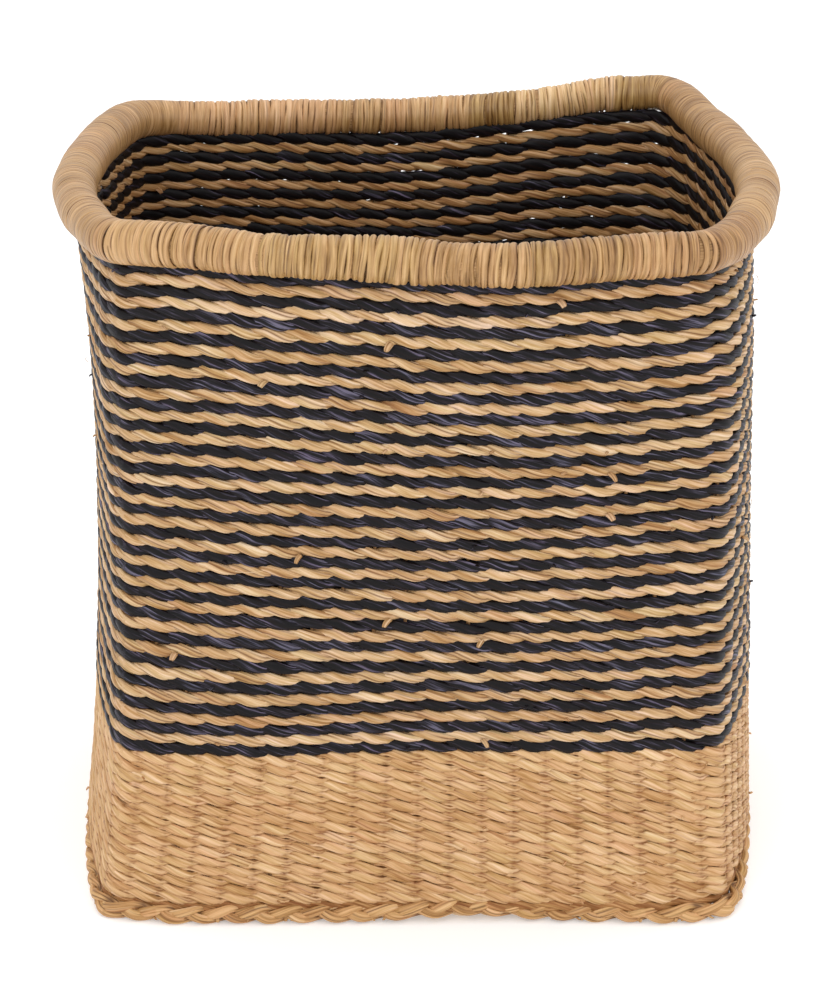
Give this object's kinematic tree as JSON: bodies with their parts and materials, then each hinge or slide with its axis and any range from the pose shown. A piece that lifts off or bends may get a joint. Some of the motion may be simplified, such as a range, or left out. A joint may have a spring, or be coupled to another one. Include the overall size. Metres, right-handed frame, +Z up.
{
  "type": "woven storage basket",
  "caption": "Open storage basket of twined grass: bowed square wall with dark and natural stripes over a plain band, braided foot, woven base and thick wrapped rim.",
  "frame": {"origin": "centre of the footprint, on the surface that the basket stands on", "axes": "+Z up through the open mouth, +X to the right along the front wall, -Y towards the front"},
  "size_m": [0.332, 0.328, 0.3286],
  "materials": {
    "dyed_grass": "dry dyed grass strands, near black with a bluish cast and faint satin streaks",
    "natural_grass": "dry undyed grass strands, golden straw with fine streaks along the blades",
    "rim_grass": "split grass wrapping, pale straw, satin, tone changing from length to length",
    "braid_grass": "braided grass, straw to light brown, dry",
    "stalk": "round grass stalk, unpainted, smooth and dry"
  },
  "bodies": {
    "root": {"dark_course_01": "dyed_grass", "dark_course_02": "dyed_grass", "dark_course_03": "dyed_grass", "dark_course_04": "dyed_grass", "dark_course_05": "dyed_grass", "dark_course_06": "dyed_grass", "dark_course_07": "dyed_grass", "dark_course_08": "dyed_grass", "dark_course_09": "dyed_grass", "dark_course_10": "dyed_grass", "dark_course_11": "dyed_grass", "dark_course_12": "dyed_grass", "dark_course_13": "dyed_grass", "dark_course_14": "dyed_grass", "dark_course_15": "dyed_grass", "dark_course_16": "dyed_grass", "dark_course_17": "dyed_grass", "dark_course_18": "dyed_grass", "dark_course_19": "dyed_grass", "dark_course_20": "dyed_grass", "dark_course_21": "dyed_grass", "dark_course_22": "dyed_grass", "dark_course_23": "dyed_grass", "natural_course_01": "natural_grass", "natural_course_02": "natural_grass", "natural_course_03": "natural_grass", "natural_course_04": "natural_grass", "natural_course_05": "natural_grass", "natural_course_06": "natural_grass", "natural_course_07": "natural_grass", "natural_course_08": "natural_grass", "natural_course_09": "natural_grass", "natural_course_10": "natural_grass", "natural_course_11": "natural_grass", "natural_course_12": "natural_grass", "natural_course_13": "natural_grass", "natural_course_14": "natural_grass", "natural_course_15": "natural_grass", "natural_course_16": "natural_grass", "natural_course_17": "natural_grass", "natural_course_18": "natural_grass", "natural_course_19": "natural_grass", "natural_course_20": "natural_grass", "natural_course_21": "natural_grass", "natural_course_22": "natural_grass", "plain_courses": "natural_grass", "stakes_front": "stalk", "stakes_right": "stalk", "stakes_back": "stalk", "stakes_left": "stalk", "foot_braid": "braid_grass", "base_weave_lower": "natural_grass", "base_weave_upper": "natural_grass", "base_rods": "stalk", "rim_core": "stalk", "rim_wrap_front": "rim_grass", "rim_wrap_right": "rim_grass", "rim_wrap_back": "rim_grass", "rim_wrap_left": "rim_grass"}
  },
  "joints": []
}
